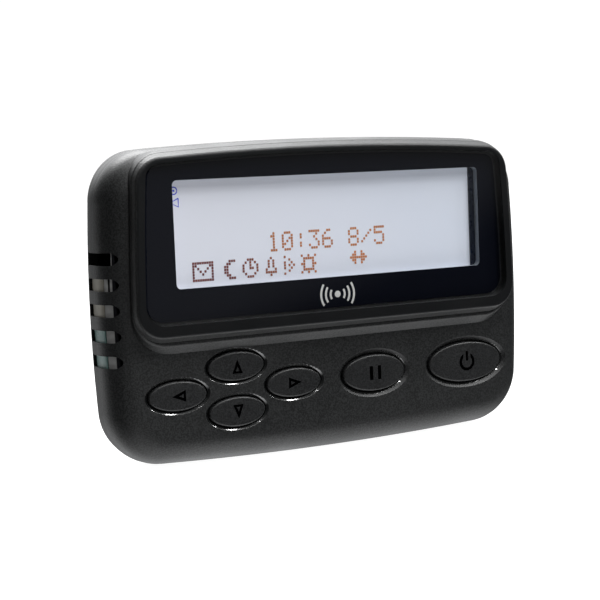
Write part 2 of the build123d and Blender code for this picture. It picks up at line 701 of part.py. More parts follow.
def motor_weight():
    """The offset half-round weight on the shaft."""
    x0 = MOTOR_X1 + 0.6
    weight = rod_x(2.5, x0, x0 + 3.4, MOTOR_Y, MOTOR_Z)
    weight -= block(x0 - 1, x0 + 5, MOTOR_Y - 3, MOTOR_Y + 3, MOTOR_Z + 0.7, MOTOR_Z + 4)
    return weight - rod_x(SHAFT_RADIUS, x0 - 1, x0 + 5, MOTOR_Y, MOTOR_Z)


# ---------------------------------------------------------------- battery
def battery_cell():
    """The AAA cell, lying along X with its button to the right."""
    half = CELL_LENGTH / 2
    can = rod_x(CELL_RADIUS, -half, half - 1.0, CELL_Y, CELL_Z)
    can = fillet(can.edges().filter_by(GeomType.CIRCLE), 0.5)
    return can + rod_x(1.9, half - 1.2, half, CELL_Y, CELL_Z)


def battery_contact(side):
    """A bent leaf at one end of the battery tub."""
    near, far = CELL_LENGTH / 2 + 0.05, BAY_HALF - 0.05
    front, rear = CELL_Y - 2.5, CELL_Y + 2.5
    low = BAY_LOW_Z + 0.1
    leaf = block(near, near + 0.3, front, rear, low, BAY_LOW_Z + 8.5)
    foot = block(near, far, front, rear, low, low + 0.3)
    back = block(far - 0.3, far, front, rear, low, BAY_HIGH_Z - 1)
    contact = leaf + foot + back
    return contact if side == "plus" else mirror(contact, about=Plane.YZ)


# ---------------------------------------------------------------- write the pieces
def all_pieces():
    """Every piece by name. A list is a group of separate solids."""
    outer = outer_solid()
    inner = case_solid(WALL, KEYPAD_Y + WALL, REAR_Y - REAR_WALL)
    pieces = {
        "front_cover": front_cover(outer, inner),
        "rear_cover": rear_cover(outer, inner),
        "battery_door": battery_door(outer),
        "rear_label": rear_label(),
        "case_screws": case_screws(),
        "display_lens": display_lens(),
        "lens_tape": lens_tape(),
        "lcd_frame": lcd_frame(),
        "lcd_seal": lcd_seal(),
        "lcd_glass": lcd_glass(),
        "backlight_panel": backlight_panel(),
        "backlight_leds": backlight_leds(),
        "elastomer_connector": elastomer_connector(),
        "keypad_membrane": keypad_membrane(),
        "snap_domes": snap_domes(),
        "main_board": main_board(),
        "rf_shield": rf_shield(),
        "crystal": crystal(),
        "tuning_coils": tuning_coils(),
        "capacitors": capacitors(),
        "loop_antenna": loop_antenna(),
        "alert_board": alert_board(),
        "sounder": sounder(),
        "motor_holder": motor_holder(),
        "vibration_motor": vibration_motor(),
        "motor_shaft": motor_shaft(),
        "motor_weight": motor_weight(),
        "battery_cell": battery_cell(),
        "battery_contact_plus": battery_contact("plus"),
        "battery_contact_minus": battery_contact("minus"),
    }
    for name, place in CHIPS.items():
        pieces[name] = chip(*place)
    for name in KEYS:
        pieces["button_" + name] = key_cap(name)
    return pieces


os.makedirs("parts", exist_ok=True)
for node, shape in all_pieces().items():
    solids = Compound(children=shape) if isinstance(shape, list) else shape
    export_step(solids, f"parts/{node}.step")
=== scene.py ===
"""Looks for a pocket pager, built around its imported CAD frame.

Metres, in the CAD's own frame: +X to the right seen from the front, -Y the front, +Z up.
"""

import json
import math

import bmesh
import bpy
from mathutils import Matrix, Vector


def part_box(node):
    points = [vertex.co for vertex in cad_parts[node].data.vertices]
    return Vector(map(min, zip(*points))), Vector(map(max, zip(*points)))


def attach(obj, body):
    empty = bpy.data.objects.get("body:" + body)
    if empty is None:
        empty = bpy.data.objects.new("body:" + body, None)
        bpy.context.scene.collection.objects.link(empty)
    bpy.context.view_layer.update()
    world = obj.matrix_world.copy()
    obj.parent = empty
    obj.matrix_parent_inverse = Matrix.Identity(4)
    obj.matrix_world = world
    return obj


MM = 0.001
CASE = "case"
KEYPAD_Y = -6.85 * MM  # the keypad's face
ICON_FLOOR_Y = -7.14 * MM  # the floor of a key's sunk symbol
RIM_Y = -9.4 * MM  # the hood's rim round the lens
PLASTIC_SHINE = 0.42  # specular level of the moulded plastic
SYMBOL_REACH = 2.2 * MM  # radius that holds a key's symbol
PRINT_DEPTH = 0.01 * MM  # the mask's print, in front of the tape
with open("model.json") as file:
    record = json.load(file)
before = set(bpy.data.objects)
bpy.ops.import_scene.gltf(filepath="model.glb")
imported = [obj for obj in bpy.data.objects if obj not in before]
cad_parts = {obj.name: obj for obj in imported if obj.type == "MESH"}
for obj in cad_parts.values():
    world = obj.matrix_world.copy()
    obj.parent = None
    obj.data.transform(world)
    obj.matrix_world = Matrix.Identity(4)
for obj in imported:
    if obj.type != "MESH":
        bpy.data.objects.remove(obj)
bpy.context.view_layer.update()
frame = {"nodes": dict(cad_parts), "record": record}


# ---------------------------------------------------------------- materials
RANGE_KEYS = ("From Min", "From Max", "To Min", "To Max")


class Finish:
    """A material built from nodes: one Principled shader and short calls for what feeds it."""

    def __init__(self, name, color, roughness, metallic=0.0, coat=0.0):
        self.material = bpy.data.materials.new(name)
        self.material.use_nodes = True
        self.tree = self.material.node_tree
        self.shader = self.tree.nodes["Principled BSDF"]
        self.shader.inputs["Base Color"].default_value = (*color, 1)
        self.shader.inputs["Roughness"].default_value = roughness
        self.shader.inputs["Metallic"].default_value = metallic
        self.shader.inputs["Coat Weight"].default_value = coat
        self.shader.inputs["Coat Roughness"].default_value = 0.08
        self.place = self.add("ShaderNodeTexCoord").outputs["Object"]
        self.bump = None

    def add(self, kind, settings=None, **inputs):
        """A node with settings and inputs, by name or as i0, i1. An input is a value or a socket."""
        node = self.tree.nodes.new(kind)
        for key, value in (settings or {}).items():
            setattr(node, key, value)
        for key, value in inputs.items():
            by_number = key[0] == "i" and key[1:].isdigit()
            socket = node.inputs[int(key[1:]) if by_number else key]
            if isinstance(value, bpy.types.NodeSocket):
                self.tree.links.new(value, socket)
            else:
                socket.default_value = value
        return node

    def feed(self, socket, source):
        """Joins a socket to one of the shader's inputs."""
        self.tree.links.new(source, self.shader.inputs[socket])

    def noise(self, size, detail=2.0, stretch=None):
        """Soft noise whose lumps are about size metres across."""
        place = self.place
        if stretch:
            place = self.add("ShaderNodeMapping", Vector=place, Scale=stretch).outputs[0]
        node = self.add("ShaderNodeTexNoise", Vector=place, Scale=1 / size, Detail=detail)
        return node.outputs["Fac"]

    def cells(self, size):
        """Rounded grains about size metres apart, 0 at each grain's middle."""
        return self.add("ShaderNodeTexVoronoi", Vector=self.place, Scale=1 / size).outputs["Distance"]

    def axis(self, name):
        """One coordinate of the surface point, in metres."""
        return self.add("ShaderNodeSeparateXYZ", Vector=self.place).outputs[name]

    def spread(self, value, low, high, new_low, new_high):
        """Moves a value from one range to another, smoothly and held at the ends."""
        node = self.add("ShaderNodeMapRange", {"interpolation_type": "SMOOTHSTEP"}, Value=value)
        for key, number in zip(RANGE_KEYS, (low, high, new_low, new_high)):
            node.inputs[key].default_value = number
        return node.outputs["Result"]

    def combine(self, first, second, operation="ADD"):
        """Two values put together by a math operation."""
        return self.add("ShaderNodeMath", {"operation": operation}, i0=first, i1=second).outputs[0]

    def blend(self, factor, first, second):
        """A colour between two colours or colour sockets."""
        node = self.add("ShaderNodeMix", {"data_type": "RGBA"}, i0=factor)
        for key, value in (("A_Color", first), ("B_Color", second)):
            socket = next(s for s in node.inputs if s.identifier == key)
            if isinstance(value, bpy.types.NodeSocket):
                self.tree.links.new(value, socket)
            else:
                socket.default_value = (*value, 1)
        return next(s for s in node.outputs if s.identifier == "Result_Color")

    def dull(self, mask, color, loss):
        """Where mask is 1, another colour over the first one, and less shine."""
        skin = self.shader.inputs["Base Color"].links[0].from_socket
        self.feed("Base Color", self.blend(mask, skin, color))
        multiply_add = {"operation": "MULTIPLY_ADD"}
        shine = self.add("ShaderNodeMath", multiply_add, i0=mask, i1=-loss, i2=PLASTIC_SHINE)
        self.feed("Specular IOR Level", shine.outputs[0])

    def raise_by(self, height, distance):
        """Bump from a height socket, on top of any earlier bump."""
        node = self.add("ShaderNodeBump", Height=height, Distance=distance, Strength=1.0)
        if self.bump:
            self.tree.links.new(self.bump, node.inputs["Normal"])
        self.bump = node.outputs["Normal"]
        self.feed("Normal", self.bump)


def moulded_plastic(name, color, roughness, grain, depth):
    """Moulded plastic with a spark-eroded grain, a fine speckle and patches of handling shine."""
    finish = Finish(name, color, roughness)
    finish.shader.inputs["Specular IOR Level"].default_value = PLASTIC_SHINE
    patches = finish.noise(14 * MM, 3)
    speckle = finish.spread(finish.noise(grain * 1.1, 2), 0.38, 0.62, 0, 1)
    lighter = [1.7 * c + 0.002 for c in color]
    darker = [0.5 * c for c in color]
    finish.feed("Base Color", finish.blend(speckle, darker, lighter))
    finish.feed("Roughness", finish.spread(patches, 0.3, 0.7, roughness - 0.04, roughness + 0.05))
    finish.raise_by(finish.noise(grain, 3), depth)
    finish.raise_by(finish.cells(grain * 1.7), depth * 0.6)
    return finish


def case_plastic():
    """The matte black skin, with a darker and duller rim round the lens."""
    color = (0.0110, 0.0116, 0.0118)
    finish = moulded_plastic("case_black", color, 0.44, 0.22 * MM, 0.024 * MM)
    rim = finish.spread(finish.axis("Y"), RIM_Y + 0.02 * MM, RIM_Y + 0.15 * MM, 1, 0)
    finish.dull(rim, (0.0042, 0.0046, 0.0052), 0.22)
    return finish.material


def key_plastic(x, z):
    """A key: the same black, a little finer, with painted shade on the floor of its sunk symbol: a dull
    near black.
    """
    color = (0.0110, 0.0115, 0.0120)
    finish = moulded_plastic("key_black", color, 0.40, 0.18 * MM, 0.012 * MM)
    depth = finish.axis("Y")
    sunk = finish.spread(depth, ICON_FLOOR_Y - 0.06 * MM, ICON_FLOOR_Y - 0.03 * MM, 0, 1)
    aside = finish.combine(finish.axis("X"), -x)
    up = finish.combine(finish.axis("Z"), -z)
    aside_squared = finish.combine(aside, aside, "MULTIPLY")
    up_squared = finish.combine(up, up, "MULTIPLY")
    squared = finish.combine(aside_squared, up_squared)
    near = finish.spread(squared, SYMBOL_REACH ** 2, (SYMBOL_REACH + 0.1 * MM) ** 2, 1, 0)
    # painted shade: the sunk symbol's floor is coloured near black and given less shine, for the shade in
    # the recess
    recess_shade_mask = finish.combine(sunk, near, "MULTIPLY")
    finish.dull(recess_shade_mask, (0.0006, 0.0006, 0.0007), PLASTIC_SHINE)
    return finish.material


def ring_plastic():
    """The polished rings round the keys."""
    finish = Finish("ring_gloss", (0.0045, 0.0048, 0.0052), 0.12, coat=1.0)
    finish.shader.inputs["Specular IOR Level"].default_value = 0.9
    finish.feed("Roughness", finish.spread(finish.noise(1.5 * MM), 0.3, 0.7, 0.08, 0.14))
    finish.raise_by(finish.noise(0.35 * MM), 0.002 * MM)
    return finish.material


def clear_lens():
    """Clear hard-coated plastic: lets light straight through, and its flat front mirrors by angle."""
    finish = Finish("lens_clear", (1, 1, 1), 0.03)
    finish.tree.nodes.remove(finish.shader)
    haze = finish.spread(finish.noise(9 * MM, 3), 0.35, 0.7, 0.015, 0.05)
    mirror = finish.add("ShaderNodeBsdfGlossy", Color=(1, 1, 1, 1), Roughness=haze)
    through = finish.add("ShaderNodeBsdfTransparent", Color=(0.975, 0.98, 0.985, 1))
    angle = finish.add("ShaderNodeFresnel", IOR=1.5).outputs[0]
    surface = finish.add("ShaderNodeNewGeometry")
    outward = finish.combine(1.0, surface.outputs["Backfacing"], "SUBTRACT")
    facing = finish.add("ShaderNodeSeparateXYZ", Vector=surface.outputs["Normal"])
    flat = finish.spread(facing.outputs["Y"], -0.98, -0.93, 1, 0)
    share = finish.combine(finish.combine(angle, outward, "MULTIPLY"), flat, "MULTIPLY")
    mix = finish.add("ShaderNodeMixShader", i0=share, i1=through.outputs[0], i2=mirror.outputs[0])
    finish.tree.links.new(mix.outputs[0], finish.tree.nodes["Material Output"].inputs["Surface"])
    return finish.material


def mask_ink():
    """The deep black print behind the lens."""
    finish = Finish("mask_ink", (0.0008, 0.0014, 0.0042), 0.7)
    finish.shader.inputs["Specular IOR Level"].default_value = 0.05
    clouds = finish.noise(6 * MM)
    tone = finish.blend(clouds, (0.0006, 0.0011, 0.0036), (0.0009, 0.0016, 0.0050))
    finish.feed("Base Color", tone)
    finish.raise_by(finish.noise(3 * MM), 0.002 * MM)
    return finish.material


def display_white():
    """The pale lit display: cool, a little darker to the right, with a faint woven cell pattern."""
    finish = Finish("display_white", (0.72, 0.74, 0.80), 0.3)
    across = finish.spread(finish.axis("X"), -30 * MM, 30 * MM, 0, 1)
    clouds = finish.spread(finish.noise(11 * MM, 2), 0.3, 0.7, 0, 1)
    tone = finish.blend(across, (0.62, 0.625, 0.68), (0.56, 0.59, 0.66))
    tone = finish.blend(finish.combine(clouds, 0.25, "MULTIPLY"), tone, (0.60, 0.62, 0.67))
    finish.feed("Base Color", tone)
    finish.feed("Emission Color", tone)
    finish.shader.inputs["Emission Strength"].default_value = 0.25
    finish.raise_by(finish.cells(0.42 * MM), 0.003 * MM)
    return finish.material


def display_dots():
    """The dots' ink: dull red at the left, orange at the right and in the upper row."""
    finish = Finish("dot_ink", (0.5, 0.2, 0.1), 0.4)
    across = finish.spread(finish.axis("X"), -23 * MM, 7 * MM, 0, 1)
    tone = finish.blend(across, (0.12, 0.018, 0.026), (0.58, 0.20, 0.05))
    upper_row = finish.spread(finish.axis("Z"), ICON_TOP, ICON_TOP + 1 * MM, 0, 0.75)
    tone = finish.blend(upper_row, tone, (0.52, 0.20, 0.065))
    patches = finish.spread(finish.noise(0.9 * MM), 0.4, 0.6, 0, 0.3)
    finish.feed("Base Color", finish.blend(patches, tone, (0.30, 0.085, 0.04)))
    finish.raise_by(finish.noise(0.2 * MM), 0.004 * MM)
    return finish.material


def ink(name, color, roughness=0.4):
    """A printed ink with slight unevenness."""
    finish = Finish(name, color, roughness)
    finish.feed("Base Color", finish.blend(finish.noise(0.5 * MM, 3), [0.8 * c for c in color], color))
    finish.raise_by(finish.noise(0.15 * MM), 0.004 * MM)
    return finish.material


def worn(name, color, roughness, metallic=0.0, grain=0.4 * MM, depth=0.01 * MM, stretch=None):
    """A general surface: grain, tonal patches and uneven shine. With stretch it is brushed one way."""
    finish = Finish(name, color, roughness, metallic)
    patches = finish.noise(5 * MM, 4)
    darker = [0.72 * c for c in color]
    lighter = [min(1, 1.2 * c) for c in color]
    finish.feed("Base Color", finish.blend(patches, darker, lighter))
    rough = finish.noise(grain * 3, 3, stretch)
    finish.feed("Roughness", finish.spread(rough, 0.3, 0.7, roughness * 0.75, min(1, roughness * 1.3)))
    finish.raise_by(finish.noise(grain, 3, stretch), depth)
    return finish.material


def shaded_strip(name, color, dark_y, light_y):
    """A thin part behind the slots: its colour, falling to near black towards its front end as painted
    shade.
    """
    finish = Finish(name, color, 0.4, 0.2)
    # painted shade: the strip's front end is coloured near black
    end = finish.spread(finish.axis("Y"), dark_y, light_y, 0, 1)
    patches = finish.noise(1.2 * MM, 3)
    tone = finish.blend(patches, [0.7 * c for c in color], [1.15 * c for c in color])
    finish.feed("Base Color", finish.blend(end, (0.004, 0.004, 0.007), tone))
    finish.raise_by(finish.noise(0.3 * MM, 2, (1, 1, 5)), 0.012 * MM)
    return finish.material


def circuit_board():
    """Green solder mask with tracks under it and a grid of pale tinned lines."""
    finish = Finish("board_green", (0.03, 0.22, 0.17), 0.35)
    pitch = 2.6 * MM
    grid = finish.add("ShaderNodeTexBrick", {"offset": 0.5}, Vector=finish.place, Scale=1 / pitch)
    grid.inputs["Mortar Size"].default_value = 0.08
    tracks = finish.spread(finish.noise(1.6 * MM, 1, (1, 1, 6)), 0.47, 0.55, 0, 1)
    tone = finish.blend(tracks, (0.018, 0.15, 0.12), (0.04, 0.30, 0.22))
    tinned = finish.combine(grid.outputs["Fac"], 0.5, "MULTIPLY")
    finish.feed("Base Color", finish.blend(tinned, tone, (0.3, 0.33, 0.2)))
    finish.raise_by(tracks, 0.03 * MM)
    return finish.material


def cell_jacket():
    """The battery's wrap: bare zinc ends and a two-tone band, plain of any print."""
    finish = Finish("cell_wrap", (0.6, 0.45, 0.1), 0.3)
    along = finish.axis("X")
    bare = finish.spread(finish.combine(along, 0.0, "ABSOLUTE"), 20.9 * MM, 21.1 * MM, 0, 1)
    band = finish.spread(along, 8.9 * MM, 9.1 * MM, 0, 1)
    tone = finish.blend(band, (0.02, 0.02, 0.022), (0.55, 0.27, 0.08))
    finish.feed("Base Color", finish.blend(bare, tone, (0.6, 0.6, 0.6)))
    finish.feed("Metallic", bare)
    finish.raise_by(finish.noise(0.5 * MM), 0.006 * MM)
    return finish.material


def elastomer_strip():
    """The rubber connector, layered across its length."""
    return worn("elastomer_strip", (0.30, 0.12, 0.12), 0.6, 0.0, 0.2 * MM, 0.02 * MM, (6, 1, 1))


def shield_tin():
    """The tin shield over the radio, brushed sideways."""
    return worn("shield_tin", (0.62, 0.60, 0.54), 0.35, 1.0, 0.25 * MM, 0.01 * MM, (1, 1, 8))


def coil_copper():
    """The tuning coils, with the fine lines of their wire."""
    return worn("coil_copper", (0.55, 0.22, 0.10), 0.3, 0.9, 0.15 * MM, 0.05 * MM, (1, 7, 1))


def motor_can():
    """The motor's drawn steel can."""
    return worn("motor_can", (0.6, 0.6, 0.6), 0.25, 1.0, 0.2 * MM, 0.008 * MM, (7, 1, 1))


SLOT_MATERIALS = {
    "case_plastic": case_plastic,
    "lens": clear_lens,
    "tape": mask_ink,
    "lcd": display_white,
    "board": circuit_board,
    "cell_jacket": cell_jacket,
    "frame_plastic": lambda: worn("holder_grey", (0.30, 0.33, 0.37), 0.35, 0.0, 0.3 * MM),
    "seal_foam": lambda: worn("seal_dark", (0.012, 0.016, 0.028), 0.3, 0.0, 0.25 * MM, 0.02 * MM),
    "light_guide": lambda: worn("light_guide", (0.75, 0.78, 0.8), 0.2),
    "lamp": lambda: worn("lamp_lens", (0.8, 0.8, 0.65), 0.25),
    "elastomer": elastomer_strip,
    "membrane": lambda: worn("membrane_rubber", (0.30, 0.31, 0.32), 0.65, 0.0, 0.3 * MM, 0.02 * MM),
    "dome_steel": lambda: worn("dome_steel", (0.62, 0.62, 0.62), 0.25, 1.0, 0.2 * MM),
    "flex_film": lambda: worn("flex_teal", (0.20, 0.33, 0.31), 0.35, 0.0, 0.3 * MM),
    "chip": lambda: worn("chip_black", (0.03, 0.03, 0.032), 0.5, 0.0, 0.15 * MM, 0.01 * MM),
    "shield_tin": shield_tin,
    "crystal_can": lambda: worn("crystal_can", (0.66, 0.66, 0.65), 0.25, 1.0),
    "coil_copper": coil_copper,
    "capacitor_can": lambda: worn("capacitor_can", (0.55, 0.56, 0.60), 0.3, 0.9),
    "antenna_strip": lambda: shaded_strip("antenna_strip", (0.46, 0.46, 0.45), -5.24 * MM, -5.14 * MM),
    "sounder_case": lambda: shaded_strip("sounder_shell", (0.30, 0.28, 0.23), -3.96 * MM, -3.88 * MM),
    "motor_can": motor_can,
    "motor_rubber": lambda: worn("motor_rubber", (0.03, 0.03, 0.03), 0.7, 0.0, 0.2 * MM, 0.02 * MM),
    "shaft_steel": lambda: worn("shaft_steel", (0.6, 0.6, 0.62), 0.2, 1.0),
    "weight_metal": lambda: worn("weight_metal", (0.28, 0.28, 0.29), 0.45, 1.0, 0.2 * MM, 0.02 * MM),
    "contact_spring": lambda: worn("contact_nickel", (0.62, 0.60, 0.55), 0.28, 1.0),
    "screw_steel": lambda: worn("screw_black", (0.06, 0.06, 0.065), 0.35, 0.8, 0.2 * MM, 0.01 * MM),
    "label_film": lambda: ink("label_film", (0.055, 0.056, 0.060), 0.5),
}


def paint_frame():
    """Gives every CAD node the material made for its slot."""
    made = {slot: build() for slot, build in SLOT_MATERIALS.items()}
    for part in frame["record"]["subparts"]:
        node = frame["nodes"][part["node"]]
        if part["material_slot"] == "key_plastic":
            low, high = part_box(part["node"])
            finish = key_plastic((low.x + high.x) / 2, (low.z + high.z) / 2)
        else:
            finish = made[part["material_slot"]]
        node.data.materials.clear()
        node.data.materials.append(finish)


# ---------------------------------------------------------------- mesh helpers
def piece(name, build, material):
    """A new mesh filled by build(bmesh), finished with a material and riding on the case."""
    mesh = bpy.data.meshes.new(name)
    form = bmesh.new()
    build(form)
    bmesh.ops.recalc_face_normals(form, faces=form.faces)
    form.to_mesh(mesh)
    form.free()
    thing = bpy.data.objects.new(name, mesh)
    bpy.context.scene.collection.objects.link(thing)
    mesh.materials.append(material)
    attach(thing, CASE)
    return thing


def slab_of(form, outline, front, back):
    """A closed flat solid from an outline of (x, z) points between two depths."""
    faces = []
    for y in (front, back):
        faces.append([form.verts.new((x, y, z)) for x, z in outline])
    form.faces.new(faces[0])
    form.faces.new(reversed(faces[1]))
    count = len(outline)
    for i in range(count):
        j = (i + 1) % count
        form.faces.new((faces[0][i], faces[1][i], faces[1][j], faces[0][j]))


def circle_points(x, z, radius, start, end, steps=32):
    """Points on an arc from start to end, in degrees from +X towards +Z."""
    angles = [math.radians(start + (end - start) * i / steps) for i in range(steps + 1)]
    return [(x + radius * math.cos(a), z + radius * math.sin(a)) for a in angles]


def stroke_of(form, points, width, front, back):
    """A line of even width through open points, as a flat solid."""
    left, right = [], []
    for i, (x, z) in enumerate(points):
        before = points[max(i - 1, 0)]
        after = points[min(i + 1, len(points) - 1)]
        dx, dz = after[0] - before[0], after[1] - before[1]
        length = math.hypot(dx, dz)
        nx, nz = -dz / length * width / 2, dx / length * width / 2
        left.append((x + nx, z + nz))
        right.append((x - nx, z - nz))
    slab_of(form, left + right[::-1], front, back)


# ---------------------------------------------------------------- display content
DOT_X = 0.42 * MM
DOT_Z = 0.46 * MM
DOT_FILL = 0.84
TEXT_TOP = 37.2 * MM
ICON_TOP = 33.2 * MM

DIGITS = {
    "0": ".###. #...# #..## #.#.# ##..# #...# .###.",
    "1": "..#.. .##.. ..#.. ..#.. ..#.. ..#.. .###.",
    "3": "##### ...#. ..#.. ...#. ....# #...# .###.",
    "6": "..##. .#... #.... ####. #...# #...# .###.",
    "8": ".###. #...# #...# .###. #...# #...# .###.",
    "5": "##### #.... ####. ....# ....# #...# .###.",
    ":": "..... ..#.. ..#.. ..... ..#.. ..#.. .....",
    "/": "..... ....# ...#. ..#.. .#... #.... .....",
    " ": "..... ..... ..... ..... ..... ..... .....",
}
SHOWN_TIME = "10:36 8/5"

# left edge in mm from the middle, then the rows of dots
ICONS = {
    "envelope": (-24.9, "######### ##.....## #.#...#.# #..#.#..# #...#...# #.......# #########"),
    "moon": (-19.3, "..###. .##... ##.... ##.... ##.... .##... ..###."),
    "clock": (-16.0, "..###.. .#.#.#. #..#..# #..##.# #.....# .#...#. ..###.."),
    "bell": (-11.8, "..#.. .#.#. .#.#. .#.#. #...# ##### ..#.."),
    "waves": (-8.4, "#.... ..#.. #..#. #.#.# #..#. ..#.. #...."),
    "sun": (-5.2, "#..#..# .#####. .#...#. ##...## .#...#. .#####. #..#..#"),
    "arrows": (4.2, "..#..#.. .##..##. ######## .##..##. ..#..#.."),
}


def dot_rows(form, rows, left, top, front, back):
    """Raised dots for every # in rows of text."""
    for down, row in enumerate(rows.split()):
        for across, mark in enumerate(row):
            if mark != "#":
                continue
            x = left + across * DOT_X
            z = top - down * DOT_Z
            w, h = DOT_X * DOT_FILL, DOT_Z * DOT_FILL
            slab_of(form, [(x, z), (x + w, z), (x + w, z - h), (x, z - h)], front, back)


def display_content():
    """The lit dots: a time and date, and a row of plain pictures."""
    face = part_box("lcd_glass")[0].y
    front, back = face - 0.03 * MM, face - 0.002 * MM
    ink_material = display_dots()

    def time_row(form):
        width = len(SHOWN_TIME) * 6 - 1
        for number, mark in enumerate(SHOWN_TIME):
            left = (number * 6 - width / 2) * DOT_X
            dot_rows(form, DIGITS[mark], left, TEXT_TOP, front, back)

    def icon_row(form):
        for left, rows in ICONS.values():
            dot_rows(form, rows, left * MM, ICON_TOP, front, back)

    piece("display_time", time_row, ink_material)
    piece("display_icons", icon_row, ink_material)

    def side_marks(form):
        x, z = -27.55 * MM, 44.75 * MM
        stroke_of(form, circle_points(x, z, 0.58 * MM, 0, 352), 0.17 * MM, front, back)
        slab_of(form, circle_points(x, z, 0.18 * MM, 0, 330, 11), front, back)
        triangle = [(-26.8, 43.55), (-26.8, 42.15), (-28.2, 42.85), (-26.8, 43.55)]
        stroke_of(form, [(x * MM, z * MM) for x, z in triangle], 0.18 * MM, front, back)

    piece("display_side_marks", side_marks, ink("side_ink", (0.04, 0.07, 0.75)))


def mask_print():
    """The mask's black print, just inside the back of the lens, so that no face lies on another."""
    tape = frame["nodes"]["lens_tape"]

    def build(form):
        form.from_mesh(tape.data)
        forward = Matrix.Translation((0, -PRINT_DEPTH, 0))
        bmesh.ops.transform(form, matrix=forward @ tape.matrix_world, verts=form.verts)

    piece("mask_print", build, tape.data.materials[0])


def lens_sign():
    """A plain radio-wave sign printed below the window."""
    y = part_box("display_lens")[1].y
    front, back = y - 0.03 * MM, y - 0.005 * MM
    middle_x, middle_z = 0.6 * MM, 26.3 * MM

    def waves(form):
        slab_of(form, circle_points(middle_x, middle_z, 0.55 * MM, 0, 345, 23), front, back)
        for radius in (1.35, 2.25, 3.15):
            for turn in (0, 180):
                arc = circle_points(middle_x, middle_z, radius * MM, turn - 34, turn + 34, 20)
                stroke_of(form, arc, 0.36 * MM, front, back)

    piece("lens_sign", waves, ink("sign_silver", (0.62, 0.62, 0.60), 0.3))


# ---------------------------------------------------------------- keys
KEY_NODES = [n for n in frame["nodes"] if n.startswith("button_")]
KEY_FLANGE = 0.75 * MM  # a key's hidden edge, behind the cover
KEY_GAP = 0.28 * MM  # from a cap to its opening
WIDE_KEY = 6 * MM  # half width from which a key has the large ring
SMALL_RING = 0.42 * MM
LARGE_RING = 0.8 * MM
BEVEL_SLOPE = 0.62  # the ring's depth over its width
RING_PROUD = 0.03 * MM
RIM_SOFTNESS = 0.06 * MM
RING_BACK = 0.25 * MM  # how far a ring reaches behind its bevel
RING_STEPS = 96
RING_CURVE = 10


def ring_profile(ring):
    """A ring's section as (distance out from the opening, y): the bevel with a soft rim, and a back."""
    profile = []
    for i in range(RING_CURVE + 1):
        t = i / RING_CURVE
        rim = RIM_SOFTNESS * max(0, 1 - 5 * t) ** 2
        y = KEYPAD_Y - RING_PROUD + BEVEL_SLOPE * ring * t + rim
        profile.append((ring * (1.05 - 1.0 * t), y))
    profile.append((ring * 0.04, KEYPAD_Y + BEVEL_SLOPE * ring + RING_BACK))
    profile.append((ring, KEYPAD_Y + RING_BACK))
    return profile


def ring_of(form, centre_x, centre_z, half_x, half_z, ring):
    """A closed ring: its section carried round an oval opening."""
    turns = [2 * math.pi * i / RING_STEPS for i in range(RING_STEPS)]
    loops = []
    for out, y in ring_profile(ring):
        a, b = half_x + out, half_z + out
        points = [(centre_x + a * math.cos(t), y, centre_z + b * math.sin(t)) for t in turns]
        loops.append([form.verts.new(point) for point in points])
    for near, far in zip(loops, loops[1:] + loops[:1]):
        for i in range(RING_STEPS):
            j = (i + 1) % RING_STEPS
            form.faces.new((near[i], near[j], far[j], far[i]))


def key_rings():
    """A polished ring with a softened rim, laid in the bevel round each key."""
    gloss = ring_plastic()
    for node in KEY_NODES:
        low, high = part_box(node)
        centre_x, centre_z = (low.x + high.x) / 2, (low.z + high.z) / 2
        half_x = (high.x - low.x) / 2 - KEY_FLANGE + KEY_GAP
        half_z = (high.z - low.z) / 2 - KEY_FLANGE + KEY_GAP
        ring = SMALL_RING if half_x < WIDE_KEY else LARGE_RING

        def build(form):
            ring_of(form, centre_x, centre_z, half_x, half_z, ring)

        ring_piece = piece(node.replace("button", "key_ring"), build, gloss)
        for face in ring_piece.data.polygons:
            face.use_smooth = True


# ---------------------------------------------------------------- stage, light and camera
FLOOR_GLOW = 0.98
FLOOR_RADIUS = 2.2
FLOOR_PINHOLE = 0.5 * MM
FLOOR_Z = -0.02 * MM
FLOOR_STEPS = 96
COVE_GLOW = 1.05
COVE_RADIUS = 2.4
KEYPAD_MIDDLE = Vector((0.0, -0.007, 0.012))
LAMP_DISTANCE = 0.8
LAMP_POWER = 150.0  # watts for each square metre of lamp

# lamps mirrored by the key rings: azimuth and rise in degrees, width and height in metres
RING_LAMPS = [
    (44, 44, 0.10, 0.17),
    (-3, 40, 0.06, 0.13),
    (68, 30, 0.05, 0.10),
]


def floor_sheet():
    """The floor's pale surface: a barely visible mottle, lit from within."""
    color = (0.12, 0.12, 0.12)
    finish = Finish("floor_pale", color, 0.6)
    mottle = finish.noise(0.12, 3)
    finish.feed("Base Color", finish.blend(mottle, [0.97 * c for c in color], color))
    finish.raise_by(finish.noise(0.004), 0.02 * MM)
    finish.shader.inputs["Emission Color"].default_value = (1, 1, 1, 1)
    finish.shader.inputs["Emission Strength"].default_value = FLOOR_GLOW
    return finish.material


def cove_sheet():
    """The cove's even white glow."""
    glow = bpy.data.materials.new("cove_glow")
    glow.use_nodes = True
    tree = glow.node_tree
    tree.nodes.remove(tree.nodes["Principled BSDF"])
    emit = tree.nodes.new("ShaderNodeEmission")
    emit.inputs["Strength"].default_value = COVE_GLOW
    tree.links.new(emit.outputs[0], tree.nodes["Material Output"].inputs["Surface"])
    return glow


def floor_disc(form):
    """A flat ring of faces round a pinhole under the pager, just below its lower edge."""
    rims = []
    for radius in (FLOOR_PINHOLE, FLOOR_RADIUS):
        rim = circle_points(0, 0, radius, 0, 360 - 360 / FLOOR_STEPS, FLOOR_STEPS - 1)
        rims.append([form.verts.new((x, y, FLOOR_Z)) for x, y in rim])
    for i in range(FLOOR_STEPS):
        j = (i + 1) % FLOOR_STEPS
        form.faces.new((rims[0][i], rims[1][i], rims[1][j], rims[0][j]))


def cove_ball(form):
    """The cove: a ball round the whole studio."""
    bmesh.ops.create_icosphere(form, subdivisions=4, radius=COVE_RADIUS)


